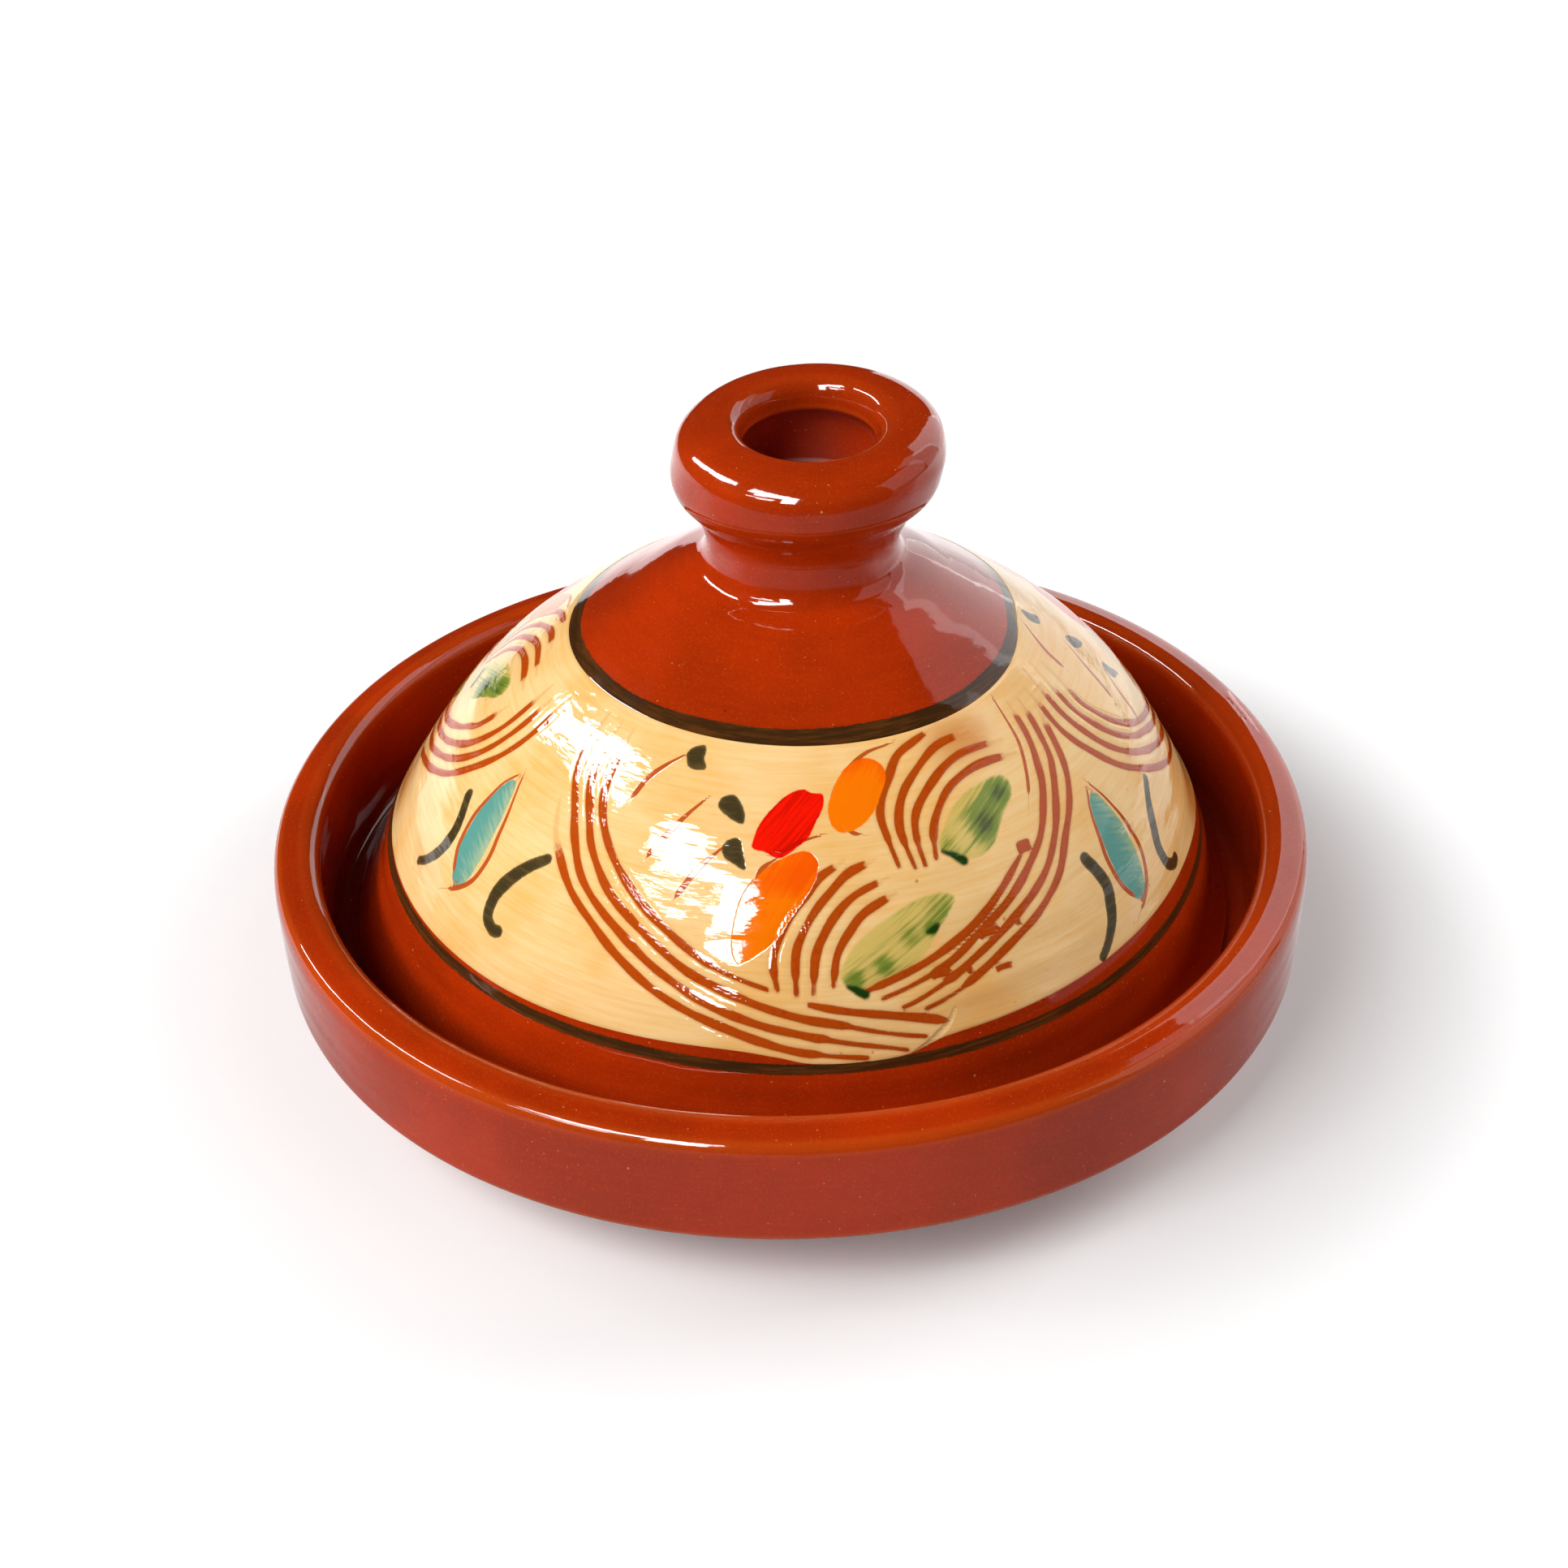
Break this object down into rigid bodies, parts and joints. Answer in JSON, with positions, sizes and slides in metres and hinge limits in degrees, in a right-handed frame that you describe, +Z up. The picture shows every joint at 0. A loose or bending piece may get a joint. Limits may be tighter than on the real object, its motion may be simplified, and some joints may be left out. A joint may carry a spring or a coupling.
{
  "type": "tagine",
  "caption": "Glazed earthenware cooking pot: a shallow round dish with an upright rim, and a conical lid with a hollow knob that stands on a ledge inside the rim and lifts off.",
  "frame": {"origin": "centre of the dish's flat foot, on the surface it stands on", "axes": "+Z up along the shared axis of dish and lid, +X to the right in the picture, +Y away from the camera"},
  "size_m": [0.27, 0.27, 0.1536],
  "materials": {
    "dish_glazed_clay": "clear gloss glaze over red-brown clay",
    "lid_glazed_clay": "clear gloss glaze over cream slip on red-brown clay"
  },
  "bodies": {
    "dish": {"dish": "dish_glazed_clay"},
    "lid": {"lid": "lid_glazed_clay"}
  },
  "joints": [
    {"name": "lid_lift", "type": "slide", "parent": "dish", "child": "lid", "axis": [0, 0, 1], "range_m": [0, 0.2]}
  ]
}
